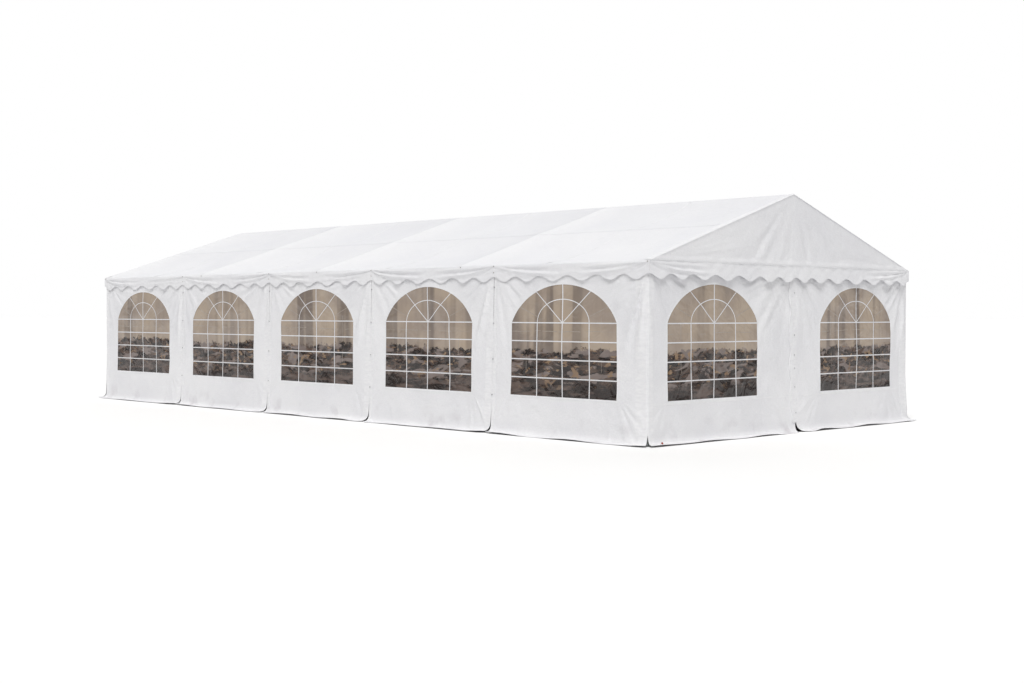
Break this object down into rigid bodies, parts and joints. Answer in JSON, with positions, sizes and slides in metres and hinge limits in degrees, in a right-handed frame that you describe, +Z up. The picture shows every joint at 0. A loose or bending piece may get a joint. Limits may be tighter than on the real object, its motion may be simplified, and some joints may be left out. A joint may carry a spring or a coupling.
{
  "type": "framed marquee tent with window walls",
  "caption": "Long white marquee: laced PVC wall panels with arched lattice windows and a scalloped pitched roof over a steel tube frame.",
  "frame": {"origin": "on the ground in the middle of the tent", "axes": "+X along the tent towards the right gable, +Z up, the front long side faces -Y"},
  "size_m": [12.32, 5.7, 2.934],
  "materials": {
    "white_pvc": "satin PVC-coated polyester",
    "window_film": "clear soft PVC film with a brown tint",
    "galvanised_steel": "hot-dip galvanised"
  },
  "bodies": {
    "root": {"front_wall_1": "white_pvc", "front_window_1": "window_film", "front_wall_2": "white_pvc", "front_window_2": "window_film", "front_wall_3": "white_pvc", "front_window_3": "window_film", "front_wall_4": "white_pvc", "front_window_4": "window_film", "front_wall_5": "white_pvc", "front_window_5": "window_film", "back_wall_1": "white_pvc", "back_window_1": "window_film", "back_wall_2": "white_pvc", "back_window_2": "window_film", "back_wall_3": "white_pvc", "back_window_3": "window_film", "back_wall_4": "white_pvc", "back_window_4": "window_film", "back_wall_5": "white_pvc", "back_window_5": "window_film", "left_wall_1": "white_pvc", "left_window_1": "window_film", "left_wall_2": "white_pvc", "left_window_2": "window_film", "right_wall_1": "white_pvc", "right_window_1": "window_film", "right_wall_2": "white_pvc", "right_window_2": "window_film", "front_roof": "white_pvc", "back_roof": "white_pvc", "left_gable": "white_pvc", "right_gable": "white_pvc", "frame_1": "galvanised_steel", "frame_2": "galvanised_steel", "frame_3": "galvanised_steel", "frame_4": "galvanised_steel", "frame_5": "galvanised_steel", "front_eave_rail": "galvanised_steel", "front_slope_rail": "galvanised_steel", "ridge_rail": "galvanised_steel", "back_slope_rail": "galvanised_steel", "back_eave_rail": "galvanised_steel", "left_gable_bar": "galvanised_steel", "right_gable_bar": "galvanised_steel"}
  },
  "joints": []
}
